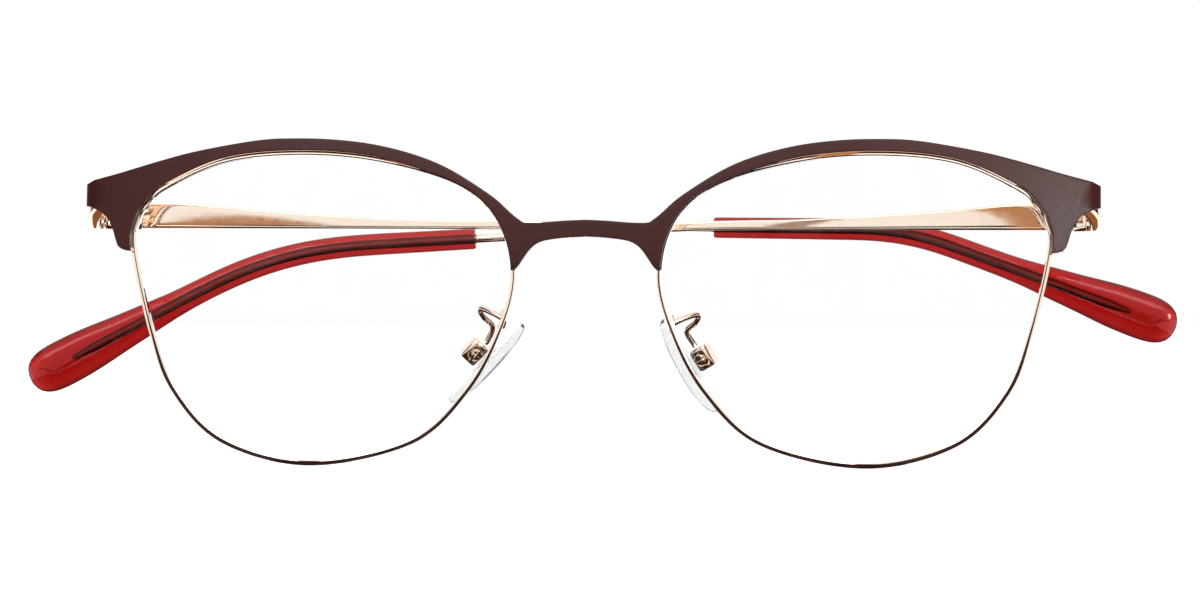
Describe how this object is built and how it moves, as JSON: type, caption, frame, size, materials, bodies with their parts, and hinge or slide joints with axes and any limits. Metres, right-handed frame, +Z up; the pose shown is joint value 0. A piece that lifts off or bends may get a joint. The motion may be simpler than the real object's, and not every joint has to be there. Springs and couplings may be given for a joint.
{
  "type": "cat-eye eyeglasses",
  "caption": "Cat-eye eyeglasses with a painted metal brow bar over thin gold wire rims, clear lenses, pivoting nose pads and hinged temples with red acetate tips.",
  "frame": {"origin": "middle of the whole's box in X and Y, at its lowest point in Z", "axes": "+Z up as worn, -Y the way the wearer looks, +X the wearer's left, temples folded at rest"},
  "size_m": [0.1552, 0.023, 0.0433],
  "materials": {
    "rose_gold": "steel plated in polished rose gold",
    "burgundy_paint": "satin dark burgundy enamel",
    "red_acetate": "polished translucent red acetate",
    "clear_lens": "clear polished lens resin",
    "clear_silicone": "clear soft silicone"
  },
  "bodies": {
    "front": {"brow_bar": "burgundy_paint", "rim_left": "rose_gold", "lens_left": "clear_lens", "end_piece_left": "rose_gold", "rim_lock_upper_left": "rose_gold", "rim_lock_lower_left": "rose_gold", "rim_lock_screw_left": "rose_gold", "front_hinge_left": "rose_gold", "hinge_screw_left": "rose_gold", "pad_arm_left": "rose_gold", "pad_box_left": "rose_gold", "pad_screw_left": "rose_gold", "rim_right": "rose_gold", "lens_right": "clear_lens", "end_piece_right": "rose_gold", "rim_lock_upper_right": "rose_gold", "rim_lock_lower_right": "rose_gold", "rim_lock_screw_right": "rose_gold", "front_hinge_right": "rose_gold", "hinge_screw_right": "rose_gold", "pad_arm_right": "rose_gold", "pad_box_right": "rose_gold", "pad_screw_right": "rose_gold"},
    "temple_left": {"temple_left": "rose_gold", "temple_tip_left": "red_acetate", "temple_hinge_left": "rose_gold"},
    "temple_right": {"temple_right": "rose_gold", "temple_tip_right": "red_acetate", "temple_hinge_right": "rose_gold"},
    "nose_pad_left": {"nose_pad_left": "clear_silicone", "pad_insert_left": "clear_silicone"},
    "nose_pad_right": {"nose_pad_right": "clear_silicone", "pad_insert_right": "clear_silicone"}
  },
  "joints": [
    {"name": "temple_hinge_left", "type": "hinge", "parent": "front", "child": "temple_left", "pos_m": [0.06436, 0.00461, 0.0332], "axis": [0, 0, -1], "range_deg": [0, 93]},
    {"name": "temple_hinge_right", "type": "hinge", "parent": "front", "child": "temple_right", "pos_m": [-0.0661, 0.00461, 0.0332], "axis": [0, 0, 1], "range_deg": [0, 90.8]},
    {"name": "nose_pad_rock_left", "type": "hinge", "parent": "front", "child": "nose_pad_left", "pos_m": [0.01423, -0.00372, 0.0144], "axis": [0.2649, 0.9511, 0.1592], "range_deg": [-10, 10]},
    {"name": "nose_pad_rock_right", "type": "hinge", "parent": "front", "child": "nose_pad_right", "pos_m": [-0.01597, -0.00372, 0.015], "axis": [-0.2223, 0.9511, 0.2147], "range_deg": [-10, 10]}
  ]
}
